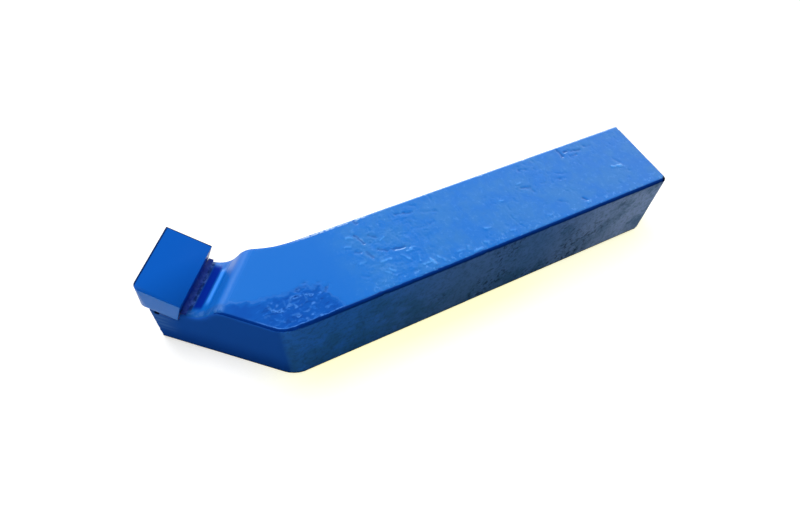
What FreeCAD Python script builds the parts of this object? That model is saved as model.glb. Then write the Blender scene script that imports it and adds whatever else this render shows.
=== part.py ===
import FreeCAD, Part
import math
import os
import Sketcher

# Bent turning tool with a brazed carbide tip, left hand, in millimetres and degrees.
#
# The frame: +X runs along the shank from the bend to the back end, +Y points to the side the head is
# bent towards, +Z is up. The origin is on the underside of the shank, on its centre line, level with
# the outer corner of the bend. "Near" is the outer side of the bend, at -Y, and "far" the inner one.

doc = FreeCAD.newDocument("turning_tool")

# Driving sizes
SIZES = {
    # Shank, a square steel bar
    "overall_length": 125.0,      # nose to back end, along the shank
    "shank_width": 20.0,
    "shank_height": 20.0,         # the nose is level with the top of the shank
    "bar_edge_radius": 0.8,       # rolled long edges of the bar
    "end_chamfer": 1.2,           # lower edge of the back end
    # Bend and head
    "bend_angle": 45.0,
    "nose_reach": 22.0,           # outer corner of the bend to the nose, along the shank
    "outer_radius": 6.5,
    "inner_radius": 22.0,
    "side_clearance": 7.0,        # the head's near face leans in below the cutting edge
    "front_clearance": 6.0,
    # Carbide tip, measured from the nose: length along the front edge, depth towards the shank
    "tip_length": 16.0,
    "tip_depth": 10.0,
    "tip_thickness": 6.8,
    "rake": 12.0,                 # the tip's top falls away behind the front edge
    "edge_inclination": 1.0,      # the front edge rises from the nose to the far side
    "front_relief": 1.0,
    "side_relief": 8.0,
    "nose_radius": 1.4,
    "front_overhang": 1.4,        # the nose stands out past the head's front face
    "near_overhang": 0.1,         # and past its near face
    "far_overhang": 0.3,
    # Seat, chip run-out and braze
    "braze_gap": 0.15,
    "shoulder_height": 2.5,       # the low wall that the tip's back is brazed against
    "runout_floor": 0.1,          # bare flat between the braze bead and the hollow
    "runout_radius": 6.0,
    "runout_rise": 18.0,          # the floor climbs away from the tip, measured from its seat
    "runout_slope": 70.0,         # the upper end of the ramp, measured from the seat
    "lip_radius": 3.5,            # rounded upper end of the ramp
    "bead_width": 1.1,            # filler that ran out on the floor behind the tip
    "bead_height": 0.9,
}

sheet = doc.addObject("Spreadsheet::Sheet", "Sizes")
for row, (name, value) in enumerate(SIZES.items(), start=1):
    sheet.set(f"A{row}", name)
    sheet.set(f"B{row}", str(value))
    sheet.setAlias(f"B{row}", name)
doc.recompute()

# Places that several features share, as formulas over the sheet's cells
SHANK_END = "(Sizes.overall_length - Sizes.nose_reach)"
HALF_WIDTH = "(Sizes.shank_width / 2)"
HEAD_WIDTH = "(Sizes.tip_length - Sizes.near_overhang - Sizes.far_overhang)"
NOSE_ALONG = "((Sizes.nose_reach - Sizes.near_overhang * sin(Sizes.bend_angle)) / cos(Sizes.bend_angle))"
FRONT_ALONG = f"({NOSE_ALONG} - Sizes.front_overhang)"
SEAT_DEPTH = "(Sizes.tip_thickness + Sizes.braze_gap)"
SHOULDER_BACK = "(Sizes.tip_depth + Sizes.braze_gap)"
SHOULDER_TOP = f"(Sizes.shoulder_height - {SEAT_DEPTH})"


def head_x(along, across):
    """X of a point that lies so far along the head from the bend, and across it from its near top edge."""
    return f"(({across}) * sin(Sizes.bend_angle) - ({along}) * cos(Sizes.bend_angle))"


def head_y(along, across):
    """Y of the same point."""
    return f"(({along}) * sin(Sizes.bend_angle) + ({across}) * cos(Sizes.bend_angle) - {HALF_WIDTH})"


def on_floor(distance):
    """The place on the run-out's floor so far behind the shoulder, seen along the tip's front edge."""
    x = f"(-{SHOULDER_BACK} - ({distance}) * cos(Sizes.runout_rise))"
    y = f"({SHOULDER_TOP} + ({distance}) * sin(Sizes.runout_rise))"
    return x, y


# The tip's own frame: origin at the nose, X along the front edge, Y forward, Z out of the tip's top
NOSE_PLACE = (
    f"placement(vector(-Sizes.nose_reach; {head_y(NOSE_ALONG, '-Sizes.near_overhang')}; "
    "Sizes.shank_height); rotation(90 - Sizes.bend_angle; -Sizes.edge_inclination; Sizes.rake))"
)
# Turns a sketch so that its X is that frame's Y, its Y the frame's Z and its normal the frame's X
SIDE_VIEW = "placement(vector(0; 0; 0); rotation(vector(1; 1; 1); 120))"


def lifted(height):
    """The placement that lifts a sketch by a height."""
    return f"placement(vector(0; 0; {height}); rotation(0; 0; 0))"


def new_body(name):
    body = doc.addObject("PartDesign::Body", name)
    body.Label = name
    return body


def new_sketch(body, role, name, offset):
    """A sketch on one of the body's origin planes, moved by the placement formula in offset."""
    plane = next(item for item in body.Origin.OriginFeatures if item.Role == role)
    sketch = body.newObject("Sketcher::SketchObject", name)
    sketch.AttachmentSupport = [(plane, "")]
    sketch.MapMode = "FlatFace"
    sketch.setExpression("AttachmentOffset", offset)
    return sketch


def number(item, formula):
    """What a formula over the sheet comes to now."""
    found = item.evalExpression(formula)
    return float(getattr(found, "Value", found))


def draw_profile(sketch, corners):
    """Draws a closed outline through corners given as formulas, (x, y) or (x, y, radius).

    Each corner is a construction point bound to the sheet. The sides run through those points, and a
    corner that has a radius gets an arc tangent to its two sides.
    """
    count = len(corners)
    places = [FreeCAD.Vector(number(sketch, c[0]), number(sketch, c[1]), 0) for c in corners]

    def bind(formula, *constraint):
        index = sketch.addConstraint(Sketcher.Constraint(*constraint))
        sketch.setExpression(f"Constraints[{index}]", formula)

    points = []
    starts = list(places)
    ends = list(places)
    arcs = {}
    for i, corner in enumerate(corners):
        point = sketch.addGeometry(Part.Point(places[i]), True)
        bind(corner[0], "DistanceX", -1, 1, point, 1, places[i].x)
        bind(corner[1], "DistanceY", -1, 1, point, 1, places[i].y)
        points.append(point)
        if len(corner) == 2:
            continue
        radius = number(sketch, corner[2])
        back = (places[i - 1] - places[i]).normalize()
        onward = (places[(i + 1) % count] - places[i]).normalize()
        half = back.getAngle(onward) / 2
        centre = places[i] + (back + onward).normalize() * (radius / math.sin(half))
        ends[i] = places[i] + back * (radius / math.tan(half))
        starts[i] = places[i] + onward * (radius / math.tan(half))
        turns_left = back.cross(onward).z < 0
        first, last = (ends[i], starts[i]) if turns_left else (starts[i], ends[i])
        first_angle = math.atan2(first.y - centre.y, first.x - centre.x)
        last_angle = math.atan2(last.y - centre.y, last.x - centre.x)
        if last_angle < first_angle:
            last_angle += 2 * math.pi
        circle = Part.Circle(centre, FreeCAD.Vector(0, 0, 1), radius)
        arc = sketch.addGeometry(Part.ArcOfCircle(circle, first_angle, last_angle), False)
        bind(corner[2], "Radius", arc, radius)
        arcs[i] = (arc, 1, 2) if turns_left else (arc, 2, 1)

    sides = []
    for i in range(count):
        line = Part.LineSegment(starts[i], ends[(i + 1) % count])
        sides.append(sketch.addGeometry(line, False))
    for i in range(count):
        side_in, side_out = sides[i - 1], sides[i]
        if i in arcs:
            arc, arc_in, arc_out = arcs[i]
            sketch.addConstraint(Sketcher.Constraint("PointOnObject", points[i], 1, side_in))
            sketch.addConstraint(Sketcher.Constraint("PointOnObject", points[i], 1, side_out))
            sketch.addConstraint(Sketcher.Constraint("Tangent", side_in, 2, arc, arc_in))
            sketch.addConstraint(Sketcher.Constraint("Tangent", side_out, 1, arc, arc_out))
        else:
            sketch.addConstraint(Sketcher.Constraint("Coincident", side_in, 2, points[i], 1))
            sketch.addConstraint(Sketcher.Constraint("Coincident", side_out, 1, points[i], 1))


def cut_through(body, name, profile):
    """Removes a profile from the body, all the way in both directions."""
    pocket = body.newObject("PartDesign::Pocket", name)
    pocket.Profile = profile
    pocket.Type = "ThroughAll"
    pocket.SideType = "Symmetric"
    doc.recompute()
    if pocket.Shape.Volume > pocket.BaseFeature.Shape.Volume - 1:
        raise RuntimeError(f"{name} cut nothing")
    return pocket


def round_edges(body, name, base, wanted, radius):
    """A fillet on the edges that a test picks."""
    fillet = body.newObject("PartDesign::Fillet", name)
    fillet.Base = (base, edge_names(base.Shape, wanted))
    fillet.setExpression("Radius", radius)
    doc.recompute()
    return fillet


def loft_between(body, name, first, last):
    """A straight-sided solid from one sketch to another with as many sides."""
    loft = body.newObject("PartDesign::AdditiveLoft", name)
    loft.Profile = first
    loft.Sections = [last]
    loft.Ruled = True
    return loft


def edge_names(shape, wanted):
    """Names of the edges that a test picks."""
    return [f"Edge{i}" for i, edge in enumerate(shape.Edges, start=1) if wanted(edge)]


def same(first, second):
    return abs(first - second) < 0.001


# Shank

BEND_PLACE = f"placement(vector(0; -{HALF_WIDTH}; 0); rotation(90 - Sizes.bend_angle; 0; 0))"
FRONT_VIEW = "placement(vector(0; 0; 0); rotation(vector(1; 0; 0); 90))"


def make_shank():
    """The bent bar, with its clearance faces, tip seat, shoulder and chip run-out."""
    body = new_body("shank")

    # The bar as bent, seen from above
    inner_x = f"(({HEAD_WIDTH} - Sizes.shank_width * cos(Sizes.bend_angle)) / sin(Sizes.bend_angle))"
    outline = new_sketch(body, "XY_Plane", "BarOutline", lifted("0"))
    draw_profile(outline, [
        (SHANK_END, f"-{HALF_WIDTH}"),
        (SHANK_END, HALF_WIDTH),
        (inner_x, HALF_WIDTH, "Sizes.inner_radius"),
        (head_x(FRONT_ALONG, HEAD_WIDTH), head_y(FRONT_ALONG, HEAD_WIDTH)),
        (head_x(FRONT_ALONG, "0"), head_y(FRONT_ALONG, "0")),
        ("0", f"-{HALF_WIDTH}"),
    ])
    bar = body.newObject("PartDesign::Pad", "BentBar")
    bar.Profile = outline
    bar.setExpression("Length", "Sizes.shank_height")
    doc.recompute()
    height = number(body, "Sizes.shank_height")
    half_width = number(body, HALF_WIDTH)
    shank_end = number(body, SHANK_END)

    def is_lower_end(edge):
        """The lower edge of the back end."""
        return all(same(v.X, shank_end) and same(v.Z, 0) for v in edge.Vertexes)

    end = body.newObject("PartDesign::Chamfer", "EndChamfer")
    end.Base = (bar, edge_names(bar.Shape, is_lower_end))
    end.setExpression("Size", "Sizes.end_chamfer")

    # The ground clearance faces, as wedges that are widest at the underside
    clear = "Sizes.shank_width"
    near_wedge = new_sketch(body, "XY_Plane", "NearWedge", f"{BEND_PLACE} * {FRONT_VIEW}")
    draw_profile(near_wedge, [
        ("0", "Sizes.shank_height"),
        (f"-{clear}", "Sizes.shank_height"),
        (f"-{clear}", "0"),
        ("Sizes.shank_height * tan(Sizes.side_clearance)", "0"),
    ])
    cut_through(body, "NearClearance", near_wedge)
    front_wedge = new_sketch(body, "XY_Plane", "FrontWedge", f"{BEND_PLACE} * {SIDE_VIEW}")
    draw_profile(front_wedge, [
        (FRONT_ALONG, "Sizes.shank_height"),
        (f"{FRONT_ALONG} - Sizes.shank_height * tan(Sizes.front_clearance)", "0"),
        (f"{FRONT_ALONG} + {clear}", "0"),
        (f"{FRONT_ALONG} + {clear}", "Sizes.shank_height"),
    ])
    ground = cut_through(body, "FrontClearance", front_wedge)

    across_head = near_wedge.Placement.Rotation.multVec(FreeCAD.Vector(1, 0, 0))

    def is_outer_bend(edge):
        """The slanting edge where the bar's near side meets the head's near clearance face."""
        first, last = edge.Vertexes
        at_near_side = same(first.Y, -half_width) and same(last.Y, -half_width)
        return at_near_side and max(first.X, last.X) < height and abs(first.Z - last.Z) > height / 2

    bend = round_edges(body, "OuterBend", ground, is_outer_bend, "Sizes.outer_radius")

    # The seat, the shoulder and the run-out are one milled channel across the head, seen from its side
    channel = new_sketch(body, "XY_Plane", "SeatAndRunout", f"{NOSE_PLACE} * {SIDE_VIEW}")
    turn = "(Sizes.runout_slope - Sizes.runout_rise)"
    floor_length = (
        f"(Sizes.bead_width + Sizes.runout_floor + Sizes.runout_radius * tan({turn} / 2))"
    )
    foot_x, foot_y = on_floor(floor_length)
    ramp_run = f"(({clear} - {foot_y}) / tan(Sizes.runout_slope))"
    draw_profile(channel, [
        (clear, clear),
        (f"{foot_x} - {ramp_run}", clear),
        (foot_x, foot_y, "Sizes.runout_radius"),
        (f"-{SHOULDER_BACK}", SHOULDER_TOP),
        (f"-{SHOULDER_BACK}", f"-{SEAT_DEPTH}"),
        (clear, f"-{SEAT_DEPTH}"),
    ])
    milled = cut_through(body, "MilledChannel", channel)

    def lies_at(edge, level):
        """Whether a level edge lies so high, leaving out those of the back end."""
        first, last = edge.Vertexes
        return same(first.Z, level) and same(last.Z, level) and not same(first.X, last.X)

    def crosses_head(edge):
        """Whether an edge runs straight across the head."""
        first, last = (vertex.Point for vertex in edge.Vertexes)
        return abs((last - first).normalize().dot(across_head)) > 0.98

    def is_lip(edge):
        """The upper end of the ramp."""
        return lies_at(edge, height) and crosses_head(edge)

    lip = round_edges(body, "Lip", milled, is_lip, "Sizes.lip_radius")

    def is_upper_edge(edge):
        """An upper long edge of the bar. The fillet runs on down the run-out's rims."""
        return lies_at(edge, height) and not crosses_head(edge)

    upper = round_edges(body, "UpperEdges", lip, is_upper_edge, "Sizes.bar_edge_radius")

    def is_lower_edge(edge):
        """A lower long edge of the bar, from the back end to the head's front face."""
        return lies_at(edge, 0) and not crosses_head(edge)

    round_edges(body, "LowerEdges", upper, is_lower_edge, "Sizes.bar_edge_radius")
    return body


# Carbide tip

def tip_outline(body, name, depth_below, front_setback, near_setback):
    """The tip's outline at a depth below its top, set back by the reliefs on its two cutting sides."""
    sketch = new_sketch(body, "XY_Plane", name, lifted(f"-({depth_below})"))
    draw_profile(sketch, [
        (near_setback, f"-({front_setback})", "Sizes.nose_radius"),
        (near_setback, "-Sizes.tip_depth"),
        ("Sizes.tip_length", "-Sizes.tip_depth"),
        ("Sizes.tip_length", f"-({front_setback})"),
    ])
    return sketch


def make_tip():
    """A flat plate with its front and near sides ground to their reliefs and a rounded nose."""
    body = new_body("carbide_tip")
    front_setback = "Sizes.tip_thickness * tan(Sizes.rake + Sizes.front_relief)"
    near_setback = "Sizes.tip_thickness * tan(Sizes.side_relief - Sizes.edge_inclination)"
    top = tip_outline(body, "TopOutline", "0", "0", "0")
    bottom = tip_outline(body, "BottomOutline", "Sizes.tip_thickness", front_setback, near_setback)
    loft_between(body, "GroundPlate", top, bottom)
    body.setExpression("Placement", NOSE_PLACE)
    return body


# Braze

def make_braze():
    """The filler: a foil under the tip, a film up the shoulder and the bead that ran out behind."""
    body = new_body("braze_layer")
    cos_rake = "cos(Sizes.rake)"
    sin_rake = "sin(Sizes.rake)"
    # The foil's ends are flush with the head's faces at the seat
    near_end = (
        f"(Sizes.near_overhang + ({SEAT_DEPTH} * {cos_rake} + Sizes.tip_depth * {sin_rake})"
        " * tan(Sizes.side_clearance))"
    )
    far_end = f"({HEAD_WIDTH} + Sizes.near_overhang)"
    seat_fall = f"({SEAT_DEPTH} / {cos_rake} + Sizes.front_overhang * tan(Sizes.rake))"
    front_end = (
        f"-(Sizes.front_overhang + {seat_fall} * tan(Sizes.front_clearance)"
        f" + {SEAT_DEPTH} * {sin_rake}) / {cos_rake}"
    )
    profile = new_sketch(body, "YZ_Plane", "FillerProfile", lifted(near_end))
    draw_profile(profile, [
        (front_end, "-Sizes.tip_thickness"),
        ("-Sizes.tip_depth", "-Sizes.tip_thickness"),
        ("-Sizes.tip_depth", f"{SHOULDER_TOP} + Sizes.bead_height"),
        on_floor("Sizes.bead_width"),
        (f"-{SHOULDER_BACK}", SHOULDER_TOP),
        (f"-{SHOULDER_BACK}", f"-{SEAT_DEPTH}"),
        (front_end, f"-{SEAT_DEPTH}"),
    ])
    filler = body.newObject("PartDesign::Pad", "Filler")
    filler.Profile = profile
    filler.setExpression("Length", f"{far_end} - {near_end}")
    body.setExpression("Placement", NOSE_PLACE)
    return body


sub_parts = [make_shank(), make_tip(), make_braze()]
doc.recompute()

failed = [item.Name for item in doc.Objects if {"Invalid", "Error"} & set(item.State)]
if failed:
    raise RuntimeError(f"failed objects: {failed}")
for sub_part in sub_parts:
    shape = sub_part.Shape
    if shape.isNull() or not shape.isValid() or len(shape.Solids) != 1:
        raise RuntimeError(f"{sub_part.Label} is not one valid solid")

os.makedirs("parts", exist_ok=True)
for sub_part in sub_parts:
    sub_part.Shape.exportStep(f"parts/{sub_part.Label}.step")
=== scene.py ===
import math

import bpy
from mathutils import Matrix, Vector, noise


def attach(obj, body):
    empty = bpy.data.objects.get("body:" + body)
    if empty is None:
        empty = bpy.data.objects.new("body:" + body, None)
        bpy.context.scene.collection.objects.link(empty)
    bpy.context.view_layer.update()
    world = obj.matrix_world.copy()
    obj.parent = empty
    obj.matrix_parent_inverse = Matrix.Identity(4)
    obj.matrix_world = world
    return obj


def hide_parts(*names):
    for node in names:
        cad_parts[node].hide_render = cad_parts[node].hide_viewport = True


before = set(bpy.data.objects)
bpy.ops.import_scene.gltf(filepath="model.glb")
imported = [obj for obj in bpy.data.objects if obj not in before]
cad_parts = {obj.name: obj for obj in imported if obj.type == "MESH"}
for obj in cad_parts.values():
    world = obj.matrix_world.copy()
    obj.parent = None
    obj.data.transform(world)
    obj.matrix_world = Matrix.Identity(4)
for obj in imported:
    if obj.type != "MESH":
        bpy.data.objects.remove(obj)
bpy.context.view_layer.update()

# The shank: a square steel bar, bent 45 degrees, ground and milled at its head, then enamelled blue.
# The enamel lies glossy over rolled scale on the bar, so pits, wrinkles and sags of the scale show in
# it, and it is smooth on the head, which was heated and machined.

MM = 0.001
# The bend's outer corner on the upper face, in mm, and the ways along the head and across it.
BEND = Vector((0.0, -10.0, 20.0))
ALONG_HEAD = Vector((-math.sqrt(0.5), math.sqrt(0.5), 0.0))
ACROSS_HEAD = Vector((math.sqrt(0.5), math.sqrt(0.5), 0.0))
# The spacing of the shank's vertices, and the height above which they count as on its upper face.
SHANK_CELL = 0.45
UPPER_FACE = 18.8
# The shank is drawn this much smaller before its coat's relief, which so stays inside the bar's size.
COAT = 0.1
# How squarely a normal points a way where a face begins to count as facing it, and where it fully does.
FACES = (0.75, 0.97)
# Where scale begins and is full along the bar, and where the coat's relief fades along the head.
SCALE_ON_TOP = (19.0, 23.0)
SCALE_ON_SIDES = (0.0, 5.0)
RUNOUT_FADE = (16.0, 18.5)
# The milled ridge of the run-out and the pore under the tip, by their places along the head.
RIDGE_ALONG, RIDGE_HEIGHT, RIDGE_WIDTH = 17.6, 0.26, 0.42
PORE_ALONG, PORE_UP, PORE_DEPTH, PORE_RADIUS = 27.3, 11.5, 0.75, 0.55

# Wrinkles and pits of the upper face in mm: from x, y to x, y, and height; a groove is below 0.
MARKS = (
    (23.7, 5.6, 24.9, 2.9, -0.14), (21.8, 5.7, 23.0, 5.3, 0.07), (20.3, 3.4, 21.6, 3.4, 0.06),
    (26.6, 4.3, 27.8, 3.3, -0.09), (28.2, 2.2, 29.5, 2.8, 0.07), (21.7, 1.5, 23.1, 1.0, -0.09),
    (24.1, 0.6, 24.7, -1.3, -0.14), (26.6, 0.3, 28.2, -0.7, -0.11), (28.3, -0.6, 29.9, -0.8, -0.08),
    (29.9, -1.2, 32.3, -1.4, -0.16), (32.0, -2.7, 34.0, -2.4, 0.09), (30.6, -3.0, 31.6, -4.6, 0.08),
    (25.7, -2.9, 28.1, -2.9, 0.09), (21.2, -1.7, 22.7, -1.4, 0.07), (26.1, -4.9, 27.2, -6.3, 0.08),
    (25.3, -5.4, 26.0, -6.3, 0.06), (20.3, -4.5, 21.7, -5.3, -0.05), (31.1, -7.9, 31.9, -7.9, -0.07),
    (33.8, -4.7, 33.4, -6.0, 0.06), (33.7, -7.0, 35.4, -7.1, 0.08), (35.6, -6.7, 36.2, -8.1, 0.10),
    (37.5, -6.6, 38.3, -8.1, 0.08), (42.1, -7.4, 43.4, -7.5, 0.07), (45.0, -7.1, 44.9, -8.0, 0.06),
    (45.6, -8.9, 47.5, -8.8, 0.08), (49.1, -7.7, 50.1, -7.9, 0.08), (51.4, -4.4, 52.6, -4.7, 0.08),
    (34.7, 7.3, 36.9, 6.6, -0.09), (36.9, 6.6, 38.9, 6.1, -0.09), (40.4, 5.6, 44.3, 4.2, -0.05),
    (39.1, 8.2, 40.1, 7.6, -0.07), (37.3, 1.8, 39.2, 1.4, -0.05), (40.6, 1.6, 41.8, 1.9, -0.07),
    (25.3, 9.4, 25.9, 8.3, -0.16), (6.5, -2.0, 6.8, -2.2, -0.12), (8.4, -1.0, 9.1, -0.9, -0.10),
    (9.2, -3.4, 10.0, -3.4, -0.10), (11.1, -2.1, 11.7, -2.1, -0.07), (10.8, -4.7, 12.3, -4.1, -0.12),
    (12.2, -3.8, 12.9, -3.3, -0.08), (8.1, -3.9, 8.7, -4.4, -0.14), (0.4, -4.7, 2.0, -5.6, -0.13),
    (-0.1, -2.8, -0.0, -4.6, 0.07), (-1.6, -4.9, -0.7, -5.2, 0.07), (3.4, -6.8, 4.6, -7.0, 0.07),
    (8.4, -6.8, 8.6, -7.7, -0.09), (3.3, -4.7, 4.1, -4.9, -0.08), (3.1, -3.0, 3.0, -4.5, 0.05),
    (82.4, 8.8, 82.5, 6.5, -0.18), (83.7, 7.5, 85.3, 7.6, -0.12), (85.8, 7.0, 88.2, 6.7, -0.12),
    (84.2, 5.8, 86.4, 5.7, -0.08), (89.7, 7.3, 91.6, 6.9, -0.08), (69.3, 7.0, 71.1, 6.6, -0.06),
    (66.3, 2.1, 68.5, 1.5, -0.09), (68.4, 1.3, 68.6, 0.1, -0.08), (92.2, -1.2, 94.6, -1.8, 0.14),
    (94.2, -2.0, 95.5, -2.4, 0.07), (94.3, 0.9, 95.1, -0.9, -0.07), (77.4, 2.4, 79.5, 1.8, -0.06),
    (76.4, 1.0, 78.5, 0.5, -0.06), (72.1, -4.8, 74.2, -6.0, -0.06), (78.4, -6.5, 79.3, -7.4, -0.12),
    (78.8, -8.0, 79.9, -7.8, 0.08), (66.1, 3.5, 67.0, 3.5, 0.07), (59.0, 0.9, 60.1, 0.7, 0.07),
    (68.9, 11.1, 70.6, 11.3, 0.07), (56.5, -7.3, 57.8, -7.6, 0.07), (67.2, -7.3, 68.6, -7.4, 0.07),
    (69.2, 8.1, 69.4, 6.3, -0.05), (68.2, -4.4, 69.9, -4.5, -0.04),
)
# How far from its start a mark is looked for, its half width, and the strength of all of them.
MARK_REACH, MARK_WIDTH, MARK_GAIN = 4.0, 0.33, 1.1
# The scar in the sunken patch: its centre in mm, and its half length and half width.
SCAR_CENTRE, SCAR_HALF = (5.8, -4.0), (1.75, 1.25)
# The upper boundary of the sunken, rough patch at the outer bend, as x, y in mm.
SAG_LINE = ((-9.5, 1.0), (-7.0, 1.7), (-2.5, -0.4), (0.7, -0.9), (4.7, -1.6), (8.7, -1.2),
            (11.4, -2.6), (12.6, -5.0), (13.7, -8.0), (14.5, -10.0))


def select_only(piece):
    bpy.ops.object.select_all(action="DESELECT")
    piece.select_set(True)
    bpy.context.view_layer.objects.active = piece


def apply_modifier(piece, kind, **settings):
    modifier = piece.modifiers.new(kind.lower(), kind)
    for name, value in settings.items():
        setattr(modifier, name, value)
    select_only(piece)
    bpy.ops.object.modifier_apply(modifier=modifier.name)


def copy_of_node(name, piece_name):
    """A loose copy of a CAD node's mesh, its doubled vertices merged."""
    piece = bpy.data.objects.new(piece_name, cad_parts[name].data.copy())
    bpy.context.scene.collection.objects.link(piece)
    select_only(piece)
    bpy.ops.object.mode_set(mode="EDIT")
    bpy.ops.mesh.select_all(action="SELECT")
    bpy.ops.mesh.remove_doubles(threshold=0.00001)
    bpy.ops.mesh.normals_make_consistent(inside=False)
    bpy.ops.object.mode_set(mode="OBJECT")
    return piece


def step(value, start, end):
    """0 before start, 1 after end, smooth between them."""
    t = min(max((value - start) / (end - start), 0.0), 1.0)
    return t * t * (3.0 - 2.0 * t)


def distance_to_line(x, y, x0, y0, x1, y1):
    """Distance of a point from the straight line between two others."""
    dx, dy = x1 - x0, y1 - y0
    t = min(max(((x - x0) * dx + (y - y0) * dy) / (dx * dx + dy * dy), 0.0), 1.0)
    return math.hypot(x - x0 - t * dx, y - y0 - t * dy)


def sag_depth(x, y):
    """How far a point of the upper face lies inside the sunken patch, in mm, or below 0 outside it."""
    nearest, side = 99.0, -1.0
    for (x0, y0), (x1, y1) in zip(SAG_LINE, SAG_LINE[1:]):
        away = distance_to_line(x, y, x0, y0, x1, y1)
        if away < nearest:
            nearest = away
            side = 1.0 if (y - y0) * (x1 - x0) - (x - x0) * (y1 - y0) < 0.0 else -1.0
    return nearest * side


def mark_height(x, y):
    """Height of the listed wrinkles and of the scar at a point of the upper face, in mm."""
    total = 0.0
    # The marks waver, and their strength varies along them.
    x += 0.30 * noise.noise((x / 1.1, y / 1.1, 4.0)) + 0.12 * noise.noise((x / 0.45, y / 0.45, 8.0))
    y += 0.30 * noise.noise((x / 1.1, y / 1.1, 9.0)) + 0.12 * noise.noise((x / 0.45, y / 0.45, 3.0))
    strength = 1.0 + 0.6 * noise.noise((x / 0.8, y / 0.8, 1.0))
    for x0, y0, x1, y1, height in MARKS:
        if abs(x - x0) < MARK_REACH and abs(y - y0) < MARK_REACH:
            away = distance_to_line(x, y, x0, y0, x1, y1)
            total += strength * height * math.exp(-(away / MARK_WIDTH) ** 2)
    # The scar is a broken ring round a hollow.
    ring = math.hypot((x - SCAR_CENTRE[0]) / SCAR_HALF[0], (y - SCAR_CENTRE[1]) / SCAR_HALF[1])
    if ring < 2.5:
        broken = 0.05 + 0.09 * noise.noise((x / 1.3, y / 1.3, 5.0))
        total += broken * math.exp(-((ring - 1.0) / 0.26) ** 2) - 0.07 * math.exp(-(ring / 0.75) ** 4)
    return total


def relief(p, n):
    """Height of the enamelled surface above the bare form, in mm, for a point in mm and its normal."""
    along = (p - BEND).dot(ALONG_HEAD)
    # The machined end of the head and the underside stay as they are in the CAD.
    if along > RUNOUT_FADE[1] or (n.z < -0.6 and p.z < 0.6):
        return 0.0
    top = step(n.z, *FACES)
    side = step(-n.y, *FACES)
    if top > 0.5:
        rolled = step(p.x + 1.2 * noise.noise(p * 0.5), *SCALE_ON_TOP)
    else:
        rolled = step(p.x, *SCALE_ON_SIDES)
    sunk = drop = 0.0
    if n.z > 0.3 and p.x < SAG_LINE[-1][0]:
        below = sag_depth(p.x, p.y) + 0.5 * noise.noise(p * 0.6)
        sunk = step(below, 0.0, 1.5)
        drop = 0.05 * sunk + 0.022 * max(below, 0.0)
    # Scale lies in waves of three sizes, and its wrinkles and pits crowd together in places.
    coarse = 0.030 * noise.noise(p / 5.0) + 0.020 * noise.noise(p / 2.0) + 0.010 * noise.noise(p / 0.9)
    crowded = step(noise.noise(p / 7.0 + Vector((3.1, 7.7, 1.3))), -0.15, 0.35)
    wrinkle = -0.030 * (1.0 - step(abs(noise.noise(p / 1.6)), 0.0, 0.16)) * crowded
    pits = -0.07 * step(noise.noise(p / 0.9), 0.25, 0.55) * crowded
    # Behind the bend the upper face is wrinkled crosswise, and the near side has broader pits.
    cluster = top * step(p.x, 18.0, 22.0) * (1.0 - step(p.x, 34.0, 44.0)) * (1.0 - step(p.y, 5.0, 9.0))
    crossed = 1.0 - step(abs(noise.noise((p.x / 2.0, p.y / 0.8, 6.0))), 0.0, 0.20)
    wrinkle += 0.16 * cluster * crossed * noise.noise(p / 1.9)
    broad = side * -0.14 * step(noise.noise(p / 1.6 + Vector((9.0, 2.0, 5.0))), 0.22, 0.45) * crowded
    rough = rolled * (coarse + wrinkle + pits + broad)
    lumpy = sunk * step(p.x, -3.0, 2.0)
    rough += lumpy * (0.110 * noise.noise(p / 1.4) + 0.055 * noise.noise(p / 0.7))
    coated = 1.0 - step(along, *RUNOUT_FADE)
    return coated * (rough + MARK_GAIN * top * mark_height(p.x, p.y) - drop - COAT)


def ridge_height(p):
    """Height of the milled ridge that runs along the chip run-out, in mm."""
    along = (p - BEND).dot(ALONG_HEAD)
    across = (p - BEND).dot(ACROSS_HEAD)
    if abs(along - RIDGE_ALONG) > 2.0 or p.z < 13.0 or not 3.0 < across < 15.0:
        return 0.0
    centre = RIDGE_ALONG + 0.12 * noise.noise(p * 0.6)
    ends = step(across, 3.6, 5.2) * (1.0 - step(across, 12.2, 13.4))
    return RIDGE_HEIGHT * ends * math.exp(-((along - centre) / RIDGE_WIDTH) ** 2)


def pore_height(p):
    """Height, below 0, of the open pore under the tip, in mm, on the head's ground near side."""
    away = math.hypot((p - BEND).dot(ALONG_HEAD) - PORE_ALONG, 1.3 * (p.z - PORE_UP))
    return -PORE_DEPTH * math.exp(-(away / PORE_RADIUS) ** 4) if (p - BEND).dot(ACROSS_HEAD) < 3.0 else 0.0


shank = copy_of_node("shank", "painted_shank")
apply_modifier(shank, "REMESH", mode="VOXEL", voxel_size=SHANK_CELL * MM, adaptivity=0.0)
apply_modifier(shank, "SHRINKWRAP", target=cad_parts["shank"], wrap_method="NEAREST_SURFACEPOINT")
# The upper face, which has the finest wrinkles, gets vertices twice as close.
for polygon in shank.data.polygons:
    polygon.select = polygon.normal.z > 0.9 and polygon.center.z > 19.0 * MM
select_only(shank)
bpy.ops.object.mode_set(mode="EDIT")
bpy.ops.mesh.subdivide(number_cuts=1)
bpy.ops.object.mode_set(mode="OBJECT")
# The near rim of the run-out is worn round.
rim = shank.vertex_groups.new(name="rim")
for vertex in shank.data.vertices:
    p = vertex.co / MM
    along = (p - BEND).dot(ALONG_HEAD)
    across = (p - BEND).dot(ACROSS_HEAD)
    weight = step(along, 12.6, 13.6) * (1.0 - step(along, 20.6, 21.4)) * (1.0 - step(across, 1.8, 2.6))
    if weight > 0.0 and p.z > 11.0:
        rim.add([vertex.index], weight, "REPLACE")
apply_modifier(shank, "SMOOTH", factor=0.5, iterations=14, vertex_group="rim")
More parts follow.
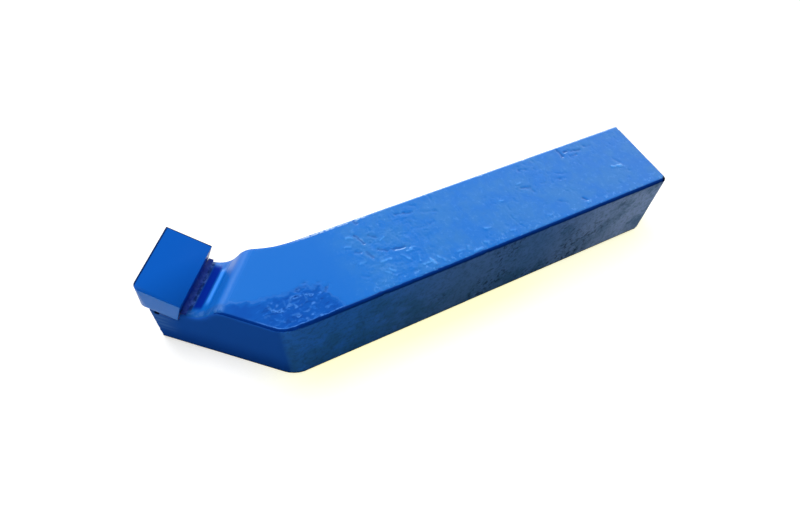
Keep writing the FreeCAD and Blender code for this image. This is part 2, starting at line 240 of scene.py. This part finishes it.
# The near sides' enamel is dull. They, the sunken patch and the marks are told on the bare surface.
dull_sides = [max(-f.normal.y, -f.normal.dot(ACROSS_HEAD)) > 0.3 for f in shank.data.polygons]
raised, patch, marked = [], [], []
for vertex in shank.data.vertices:
    p, n = vertex.co / MM, vertex.normal
    raised.extend(vertex.co + n * (relief(p, n) + ridge_height(p) + pore_height(p)) * MM)
    inside = -1.0
    if p.z > UPPER_FACE and p.x < 16.0:
        inside = sag_depth(p.x, p.y) + 0.8 * noise.noise(p * 0.9)
    patch.append(step(inside, -0.5, 1.9))
    marked.append(mark_height(p.x, p.y) if p.z > UPPER_FACE else 0.0)
shank.data.attributes.new("sunken", "FLOAT", "POINT").data.foreach_set("value", patch)
shank.data.attributes.new("marked", "FLOAT", "POINT").data.foreach_set("value", marked)
shank.data.vertices.foreach_set("co", raised)
shank.data.update()
bpy.ops.object.shade_smooth()


def linear(hex_colour):
    """An sRGB hex colour as linear RGBA."""
    channels = [int(hex_colour[i:i + 2], 16) / 255 for i in (1, 3, 5)]
    return tuple(c / 12.92 if c <= 0.04045 else ((c + 0.055) / 1.055) ** 2.4 for c in channels) + (1.0,)


def add_node(tree, kind, links=(), **settings):
    """Adds a shader node. A link is an input and what feeds it: a value, an output, or a node's own."""
    node = tree.nodes.new("ShaderNode" + kind)
    for name, value in settings.items():
        setattr(node, name, value)
    for name, source in links:
        if isinstance(source, bpy.types.Node):
            source = next(output for output in source.outputs if output.enabled)
        if isinstance(source, bpy.types.NodeSocket):
            tree.links.new(source, node.inputs[name])
        else:
            node.inputs[name].default_value = source
    return node


def new_material(name):
    material = bpy.data.materials.new(name)
    material.use_nodes = True
    material.node_tree.nodes.clear()
    return material


def measured(tree):
    """A point of the object in mm, and how far it lies along the head from the bend, and across it."""
    place = add_node(tree, "TexCoord").outputs["Object"]
    in_mm = add_node(tree, "VectorMath", [(0, place), ("Scale", 1.0 / MM)], operation="SCALE")
    from_bend = add_node(tree, "VectorMath", [(0, in_mm), (1, BEND)], operation="SUBTRACT")
    along, across = (add_node(tree, "VectorMath", [(0, from_bend), (1, way)], operation="DOT_PRODUCT")
                     for way in (ALONG_HEAD, ACROSS_HEAD))
    return in_mm, along, across


def facing(tree, way):
    """How far the surface faces a way, 1 where it faces it squarely."""
    normal = add_node(tree, "NewGeometry").outputs["Normal"]
    return add_node(tree, "VectorMath", [(0, normal), (1, way)], operation="DOT_PRODUCT")


def overlap(tree, parts):
    """The mask where all parts overlap; a part is a mask or a number."""
    mask = parts[0]
    for part in parts[1:]:
        mask = add_node(tree, "Math", [(0, mask), (1, part)], operation="MULTIPLY")
    return mask


def band(tree, value, low, high, soft):
    """The mask of a band of a measure from low to high, whose edges fade over soft on either side."""
    return overlap(tree, [
        add_node(tree, "MapRange", [("Value", value), ("From Min", end - soft), ("From Max", end + soft),
                                    ("To Min", before), ("To Max", 1.0 - before)],
                 interpolation_type="SMOOTHSTEP")
        for end, before in ((low, 0.0), (high, 1.0))])


def layered(tree, base, coats):
    """A base colour under coats, from the lowest up: each a colour and the masks that it fills."""
    colour = linear(base)
    for coat, *parts in coats:
        colour = add_node(tree, "Mix", [("Factor", overlap(tree, parts)), ("A", colour),
                                        ("B", linear(coat))], data_type="RGBA")
    return colour


def blue_enamel(name, specular_level):
    """Near saturated blue enamel, mottled where it lies on rolled scale, with a fine grain in its gloss.

    Its own pigment tints its reflections, which are weak where it lies thin and dry.
    """
    material = new_material(name)
    tree = material.node_tree
    in_mm, along, across = measured(tree)
    split = add_node(tree, "SeparateXYZ", [("Vector", in_mm)]).outputs
    length, depth, height = split["X"], split["Y"], split["Z"]
    up, near, far, ground = (facing(tree, way) for way in (
        (0.0, 0.0, 1.0), (0.0, -1.0, 0.0), (0.0, 1.0, 0.0), -ACROSS_HEAD))
    sunken, marked = (add_node(tree, "Attribute", attribute_name=kind).outputs["Fac"]
                      for kind in ("sunken", "marked"))
    pore_away, corner_away = (add_node(tree, "VectorMath", [(0, in_mm), (1, centre)], operation="DISTANCE")
                              for centre in ((-18.5, 10.0, 11.3), (102.7, -9.7, 19.6)))

    # Patterns, with their scale in cells a mm: rolled scale mottles over 7 mm and crowds over 12 mm, its
    # grain, pores and lumps are about 1 mm, the gloss has a finer grain, and scratches are drawn out.
    drawn_out = add_node(tree, "Mapping", [("Vector", in_mm), ("Rotation", (0.0, 0.0, 0.3)),
                                           ("Scale", (0.5, 1.0, 1.0))])
    scratched = add_node(tree, "Mapping", [("Vector", in_mm), ("Rotation", (0.0, 0.5, 0.0)),
                                           ("Scale", (0.25, 0.25, 2.2))])
    pattern = {}
    for kind, vector, scale, detail, roughness, distortion in (
            ("mottle", in_mm, 0.150, 4.0, 0.65, 0.0), ("fine", in_mm, 0.900, 3.0, 0.65, 0.0),
            ("crowd", in_mm, 0.085, 1.0, 0.5, 0.0), ("pores", in_mm, 0.800, 3.0, 0.6, 0.0),
            ("lumps", drawn_out, 1.100, 2.0, 0.5, 0.6), ("scratches", scratched, 0.700, 2.0, 0.5, 0.0),
            ("gloss", in_mm, 1.500, 3.0, 0.5, 0.0)):
        pattern[kind] = add_node(tree, "TexNoise", [("Vector", vector), ("Scale", scale), ("Detail", detail),
                                                    ("Roughness", roughness), ("Distortion", distortion)])

    # Bands, in mm, and the last three over how far the surface faces a way.
    masks = {"sunken": sunken}
    for kind, value, low, high, soft in (
            ("near strip", depth, -9.4, -7.4, 1.0), ("far strip", depth, 9.15, 12.0, 0.25),
            ("by the bend", length, 13.0, 29.0, 3.0), ("lumpy length", length, -3.0, 14.0, 2.0),
            ("low in the run-out", height, 10.0, 16.2, 0.3),
            ("shaded hollow along", along, 18.3, 20.2, 0.35), ("shaded hollow across", across, 2.9, 14.3, 0.8),
            ("flux along", along, 20.2, 21.6, 0.20), ("flux across", across, 2.0, 15.0, 0.6),
            ("rim along", along, 12.9, 21.6, 0.8), ("rim across", across, -1.0, 2.5, 0.5),
            ("rim height", height, 13.0, 30.0, 0.6),
            ("ridge highlight along", along, 17.2, 18.0, 0.25), ("ridge highlight across", across, 4.2, 13.2, 0.8),
            ("thin along", along, 24.5, 40.0, 2.5), ("thin height", height, 5.0, 30.0, 3.0),
            ("pored length", length, 40.0, 90.0, 8.0), ("by the top", height, 18.0, 30.0, 0.2),
            ("near the top", height, 18.85, 30.0, 0.3), ("worn length", length, -3.0, 20.0, 3.0),
            ("back end", length, 102.7, 120.0, 0.12), ("back height", height, 18.6, 30.0, 0.2),
            ("lowest", height, -9.0, 0.8, 0.3), ("lip", along, 13.0, 16.2, 1.2),
            ("rounded", up, 0.400, 0.935, 0.060), ("worn turn", near, 0.110, 0.300, 0.050),
            ("far turn", far, 0.250, 0.905, 0.060)):
        masks[kind] = band(tree, value, low, high, soft)
    # Masks that fade from the third number to the fourth while a measure, or a mask, goes from the first
    # to the second.
    for kind, value, start, end, low, high in (
            ("top", up, 0.80, 0.95, 0.0, 1.0), ("slope", up, 0.25, 0.60, 0.0, 1.0),
            ("near side", near, 0.80, 0.95, 0.0, 1.0), ("ground side", ground, 0.62, 0.80, 0.0, 1.0),
            ("near turn", near, 0.10, 0.25, 0.0, 1.0), ("near bar turn", near, 0.28, 0.40, 0.0, 1.0),
            ("rolled", length, 14.0, 24.0, 0.0, 1.0), ("bar", length, 1.0, 6.0, 0.0, 1.0),
            ("dry", length, 12.0, 50.0, 0.0, 1.0), ("painted light towards the back", length, 62.0, 100.0, 0.0, 1.0),
            ("low", height, 9.0, 1.0, 0.0, 1.0), ("by near edge", "near strip", 0.0, 1.0, 0.15, 0.42),
            ("mottle", pattern["mottle"], 0.38, 0.64, 0.0, 1.0), ("deep", "mottle", 0.0, 1.0, 0.82, 1.0),
            ("crowd", pattern["crowd"], 0.40, 0.56, 0.0, 1.0), ("crowded", "crowd", 0.0, 1.0, 0.35, 1.0),
            ("pores", pattern["pores"], 0.48, 0.66, 0.0, 1.0),
            ("specks", pattern["fine"], 0.44, 0.66, 0.0, 1.0),
            ("flecks", pattern["fine"], 0.54, 0.68, 0.0, 1.0),
            ("bared", pattern["fine"], 0.40, 0.58, 0.0, 1.0),
            ("worn", pattern["fine"], 0.40, 0.58, 0.2, 0.7),
            ("lumps", pattern["lumps"], 0.56, 0.70, 0.0, 0.4),
            ("shaded dips", pattern["lumps"], 0.42, 0.32, 0.0, 0.6),
            ("scratches", pattern["scratches"], 0.44, 0.60, 0.45, 1.0),
            ("highlit ridges", marked, 0.02, 0.10, 0.0, 1.0), ("faint if sunken", sunken, 0.0, 1.0, 0.45, 0.28),
            ("shaded grooves", marked, -0.02, -0.12, 0.0, 0.5), ("pore", pore_away, 0.4125, 0.75, 1.0, 0.0),
            ("corner", corner_away, 0.55, 1.0, 1.0, 0.0), ("grained", "rolled", 0.0, 1.0, 0.25, 1.0)):
        masks[kind] = add_node(tree, "MapRange", [
            ("Value", masks.get(value, value)), ("From Min", start), ("From Max", end), ("To Min", low),
            ("To Max", high)], interpolation_type="SMOOTHSTEP")
    # The band along the near top edge where shade is painted.
    edge = add_node(tree, "Math", [
        (0, overlap(tree, (masks["rounded"], masks["by the top"], masks["near turn"]))),
        (1, overlap(tree, (masks["near bar turn"], masks["near the top"], masks["bar"])))],
        operation="MAXIMUM")
    masks["edge"] = edge

    coats = (
        # Even on the head, mottled over scale on the bar, with pale flecks and a bared far edge.
        ("#1168c1", "rolled"),
        ("#266fbc", "mottle", "rolled"),
        ("#5c9ce8", "flecks", "rolled", "top", "by near edge"),
        ("#b4cdea", "far strip", "by the bend", "top", "bared"),
        # Deep blue in the sunken patch; painted highlights on the marks' ridges and painted shade in their
        # grooves, and painted highlights on lumps and painted shade in dips of the sunken patch.
        ("#064aa4", "sunken", "deep"),
        ("#58a8fa", "highlit ridges", "faint if sunken"),
        ("#0b4593", "shaded grooves"),
        ("#2f7ad8", "sunken", "lumpy length", "lumps"),
        ("#043c8c", "sunken", "lumpy length", "shaded dips"),
        # Painted shade in the run-out's hollow, flux behind the bead, painted shade on the slope of its worn
        # near rim with pale specks as painted highlights, and a painted highlight along its ridge.
        ("#04268c", "shaded hollow along", "shaded hollow across", "low in the run-out"),
        ("#16336f", "flux along", "flux across", "low in the run-out"),
        ("#3f62b0", "flux along", "flux across", "low in the run-out", "specks"),
        ("#1f58a4", "rim along", "rim across", "rim height", "slope", 0.7),
        ("#5a8ccc", "rim along", "rim across", "rim height", "slope", 0.3, "specks"),
        ("#3f8ff0", "ridge highlight along", "ridge highlight across", "low in the run-out"),
        # Even on the head's ground side, and thin and scratched below the tip.
        ("#1f60c6", "ground side"),
        ("#154fae", "ground side", "low"),
        ("#4a80d4", "ground side", "thin along", "thin height", "scratches"),
        # Dry and mottled on the bar's near side, with dark pores, and lighter towards the back, which is
        # painted light.
        ("#347ee6", "near side"),
        ("#5c88d2", "near side", "dry"),
        ("#b0ccff", "near side", "painted light towards the back"),
        ("#2a6390", "near side", 0.10),
        ("#2a6390", "near side", "mottle", "crowded", 0.55),
        ("#1c3c66", "near side", "specks", 0.30),
        ("#0c2e54", "near side", "crowd", "pores", 0.75, "pored length"),
        # Painted shade along the near top edge, worn on its shoulder, a painted highlight along the far top
        # edge, and painted shade at the foot.
        ("#043488", "edge"),
        ("#4a8ce4", "worn turn", "worn length", "sunken", "worn"),
        ("#8fbcf0", "far turn", "by the top", "rolled", 0.7),
        ("#0a2c6c", "back end", "back height"),
        ("#04183c", "lowest", 0.85),
        # Painted shade in the open pore under the tip.
        ("#020c28", "pore"),
        ("#020c28", "corner"),
    )
    colour = layered(tree, "#0e65c0", [(coat, *(masks.get(part, part) for part in parts))
                                       for coat, *parts in coats])

    # The gloss is duller in the sunken patch, on the run-out's lip and over the edges.
    grain = overlap(tree, (pattern["gloss"], masks["grained"]))
    bump = add_node(tree, "Bump", [("Height", grain), ("Strength", 0.4), ("Distance", 0.03 * MM)])
    dull = add_node(tree, "Math", [(0, sunken), (1, edge)], operation="MAXIMUM")
    dull = add_node(tree, "Math", [(0, dull), (1, overlap(tree, (masks["lip"], 0.5)))],
                    operation="MAXIMUM")
    roughness = add_node(tree, "MapRange", [("Value", dull), ("To Min", 0.26), ("To Max", 0.55)],
                         interpolation_type="SMOOTHSTEP")
    shader = add_node(tree, "BsdfPrincipled", [
        ("Base Color", colour), ("Roughness", roughness), ("Specular IOR Level", specular_level),
        ("Specular Tint", linear("#bce5ff")), ("Normal", bump)])
    add_node(tree, "OutputMaterial", [("Surface", shader)])
    return material


shank.data.materials.clear()
shank.data.materials.append(blue_enamel("glossy_blue_enamel_on_steel", 0.35))
shank.data.materials.append(blue_enamel("dull_blue_enamel_on_steel_sides", 0.0))
shank.data.materials.append(blue_enamel("satin_blue_enamel_in_the_hollow", 0.08))
for polygon, dull_side in zip(shank.data.polygons, dull_sides):
    hollow = sum(patch[i] for i in polygon.vertices) / len(polygon.vertices) > 0.5
    polygon.material_index = 1 if dull_side else 2 * hollow
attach(shank, "root")
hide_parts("shank")

# The brazing filler: the foil under the tip, the film behind it and the bead that ran out on the
# shoulder, lumpy from flux and painted over.

# The filler is sliced every FILLER_STEP mm across the head, and its bead is cut twice along its length.
FILLER_STEP = 0.3
FILLER_SLICES = 60
BEAD_CUTS = (21.25, 21.6)
filler = copy_of_node("braze_layer", "brazing_filler")
cuts = [(BEND + ACROSS_HEAD * i * FILLER_STEP, ACROSS_HEAD) for i in range(1, FILLER_SLICES)]
cuts += [(BEND + ALONG_HEAD * at, ALONG_HEAD) for at in BEAD_CUTS]
bpy.ops.object.mode_set(mode="EDIT")
for place, way in cuts:
    bpy.ops.mesh.select_all(action="SELECT")
    bpy.ops.mesh.bisect(plane_co=place * MM, plane_no=way, threshold=1e-7)
bpy.ops.object.mode_set(mode="OBJECT")
# The bead sinks towards its ends and between its lumps, and its face is hollow like a fillet. It lies
# on the shoulder, which falls a little along the head and rises across it.
for vertex in filler.data.vertices:
    p = vertex.co / MM - BEND
    along, across = p.dot(ALONG_HEAD), p.dot(ACROSS_HEAD)
    shoulder = 13.65 - 0.10 * (along - 20.92) + 0.018 * (across - 1.2) - BEND.z
    if p.z > shoulder + 0.06 and 20.8 < along < 22.05:
        full = step(across, 0.9, 3.0) * (1.0 - step(across, 13.2, 15.9))
        lump = 0.85 + 0.30 * noise.noise((across / 1.3, along / 1.3, 2.0))
        hollow = 0.75 if along < 21.9 else 1.0
        vertex.co.z -= (p.z - shoulder) * (1.0 - min(lump * hollow * (0.25 + 0.75 * full), 1.0)) * MM

# Brass filler and glassy flux under enamel: dark, rough and speckled, paler at the bead's toe.
filler_material = new_material("enamelled_braze_and_flux")
tree = filler_material.node_tree
in_mm, along, across = measured(tree)
grain = add_node(tree, "TexNoise", [("Vector", in_mm), ("Scale", 0.900), ("Detail", 3.0),
                                    ("Roughness", 0.65)])
specks = add_node(tree, "MapRange", [("Value", grain), ("From Min", 0.42), ("From Max", 0.66)],
                  interpolation_type="SMOOTHSTEP")
toe = band(tree, along, 20.0, 21.35, 0.25)
colour = layered(tree, "#0a3796", [("#1c479c", specks), ("#2c50a4", specks, toe)])
shader = add_node(tree, "BsdfPrincipled", [("Base Color", colour), ("Roughness", 0.45),
                                           ("Specular IOR Level", 0.15)])
add_node(tree, "OutputMaterial", [("Surface", shader)])
filler.data.materials.clear()
filler.data.materials.append(filler_material)
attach(filler, "root")
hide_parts("braze_layer")

# The tip: a plate of sintered carbide, ground on its relief faces after brazing. The enamel on its
# ground near side is thin and dry; its upper face is evenly coated.

# The width of the rounded edges, and of the dark strips painted along the front and far edges as painted
# reflection, in mm.
TIP_EDGE = 0.3
OUTLINE = 0.34
tip = copy_of_node("carbide_tip", "painted_carbide_tip")
bpy.ops.object.shade_smooth()
apply_modifier(tip, "BEVEL", width=TIP_EDGE * MM, segments=3, limit_method="ANGLE",
               angle_limit=math.radians(30.0), harden_normals=True, material=1)
front = max((v.co / MM - BEND).dot(ALONG_HEAD) for v in tip.data.vertices)
far = max((v.co / MM - BEND).dot(ACROSS_HEAD) for v in tip.data.vertices)

# The faces' enamel is even and glossy; a dark strip along the front and far edges of the upper face is
# painted reflection of the rounded edges.
tip_material = new_material("blue_enamel_on_ground_carbide")
tree = tip_material.node_tree
in_mm, along, across = measured(tree)
ground_side, upper_face = (
    add_node(tree, "MapRange", [("Value", facing(tree, way)), ("From Min", start), ("From Max", end)],
             interpolation_type="SMOOTHSTEP")
    for way, start, end in ((-ACROSS_HEAD, 0.80, 0.93), ((0.0, 0.0, 1.0), 0.85, 0.95)))
coats = [("#2f8cfa", ground_side)]
for value, end in ((along, front), (across, far)):
    coats.append(("#041a48", band(tree, value, end - OUTLINE, end + 1.0, 0.08), upper_face, 0.9))
shader = add_node(tree, "BsdfPrincipled", [
    ("Base Color", layered(tree, "#0b53b0", coats)), ("Roughness", 0.2), ("Specular IOR Level", 0.03),
    ("Specular Tint", linear("#aaddff"))])
add_node(tree, "OutputMaterial", [("Surface", shader)])

# The rounded edges are painted dark, as painted reflection, except the near ones.
edge_material = new_material("carbide_edge_with_painted_dark_reflection")
tree = edge_material.node_tree
near_edge = add_node(tree, "MapRange", [("Value", facing(tree, -ACROSS_HEAD)), ("From Min", 0.10),
                                        ("From Max", 0.40)], interpolation_type="SMOOTHSTEP")
colour = layered(tree, "#04163c", [("#1f62c8", near_edge)])
shader = add_node(tree, "BsdfPrincipled", [("Base Color", colour), ("Roughness", 0.5),
                                           ("Specular IOR Level", 0.05)])
add_node(tree, "OutputMaterial", [("Surface", shader)])
tip.data.materials.clear()
tip.data.materials.append(tip_material)
tip.data.materials.append(edge_material)
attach(tip, "root")
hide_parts("carbide_tip")

# The floor and the light: a white sweep in the open, lit from above and from the far side. The floor is
# matt, with a faint yellow glow painted in front of the tool, where its shadow falls.

bpy.ops.object.select_all(action="DESELECT")
bpy.ops.mesh.primitive_plane_add(size=3.0, location=(0, 0, 0))
floor = bpy.context.object
floor.name = "floor"
floor_material = new_material("pale_matt_floor_paint")
tree = floor_material.node_tree


def sees_backdrop(tree):
    """1 for rays of the camera and of clear reflections, which see the backdrop white."""
    path = add_node(tree, "LightPath").outputs
    sees = path["Is Camera Ray"]
    for ray in ("Is Glossy Ray", "Is Transmission Ray"):
        sees = add_node(tree, "Math", [(0, sees), (1, path[ray])], operation="MAXIMUM")
    return sees


in_mm = measured(tree)[0]
warm_place = add_node(tree, "Mapping", [("Vector", in_mm), ("Location", (43.0, -25.0, 0.0)),
                                        ("Scale", (70.0, 38.0, 70.0))], vector_type="TEXTURE")
warm = add_node(tree, "TexGradient", [("Vector", warm_place)], gradient_type="SPHERICAL").outputs["Fac"]
split = add_node(tree, "SeparateXYZ", [("Vector", in_mm)]).outputs
weaker = add_node(tree, "MapRange", [("Value", split["X"]), ("From Min", 55.0), ("From Max", 80.0),
                                     ("To Min", 1.0), ("To Max", 0.7)], interpolation_type="SMOOTHSTEP")
rise = add_node(tree, "MapRange", [("Value", split["Y"]), ("From Min", -20.5), ("From Max", -12.5)])
# The painted yellow glow along the tool's near side, seen by the camera.
glow = (rise, band(tree, split["X"], 2.0, 112.0, 10.0), weaker)
tint = layered(tree, "#c6c6c4", [("#e7e7f3", warm), ("#efecbd", *glow)])
ground = layered(tree, "#c4c4c2", [("#a2a481", warm)])
lit = add_node(tree, "BsdfDiffuse", [("Color", ground)])
lift = add_node(tree, "Emission", [("Color", tint), ("Strength", 1.0)])
dark = add_node(tree, "Emission", [("Strength", 0.0)])
seen = add_node(tree, "MixShader", [(0, sees_backdrop(tree)), (1, dark), (2, lift)])
both = add_node(tree, "AddShader", [(0, lit), (1, seen)])
add_node(tree, "OutputMaterial", [("Surface", both)])
floor.data.materials.append(floor_material)


def add_softbox(name, centre, target, size, radiance):
    """A rectangular lamp that faces the target; radiance is its brightness where a white floor is 1."""
    bpy.ops.object.light_add(type="AREA", location=centre)
    lamp = bpy.context.object
    lamp.name = name
    lamp.data.shape = "RECTANGLE"
    lamp.data.size, lamp.data.size_y = size
    lamp.data.energy = radiance * math.pi * size[0] * size[1]
    lamp.rotation_euler = (Vector(target) - lamp.location).to_track_quat("-Z", "Y").to_euler()


add_softbox("overhead", (-0.15, 0.10, 0.80), (-0.15, 0.10, 0.0), (0.35, 0.70), 9.8)
add_softbox("far_window", (-0.10, 0.75, 0.32), (0.0, 0.0, 0.02), (0.55, 0.30), 3.2)
add_softbox("far_sweep", (0.55, 0.45, 0.36), (0.04, 0.0, 0.0), (1.1, 0.70), 1.2)
world = bpy.data.worlds.new("room")
bpy.context.scene.world = world
world.use_nodes = True
tree = world.node_tree
tree.nodes.clear()
strength = add_node(tree, "Math", [(0, sees_backdrop(tree)), (1, 0.95), (2, 0.05)], operation="MULTIPLY_ADD")
sky = add_node(tree, "Background", [("Color", linear("#f3f9ff")), ("Strength", strength)])
add_node(tree, "OutputWorld", [("Surface", sky)])

# The camera, whose place, turn and lens were fitted to the object's straight edges in the photograph,
# to under one pixel on average.

bpy.ops.object.camera_add(location=(-0.036868, -0.07903, 0.148666))
camera = bpy.context.object
camera.data.sensor_width = 36.0
camera.data.lens = 34.917
camera.data.clip_start = 0.01
camera.rotation_euler = [math.radians(a) for a in (37.463, -8.346, -30.646)]
bpy.context.scene.camera = camera
bpy.context.scene.view_settings.view_transform = "Standard"
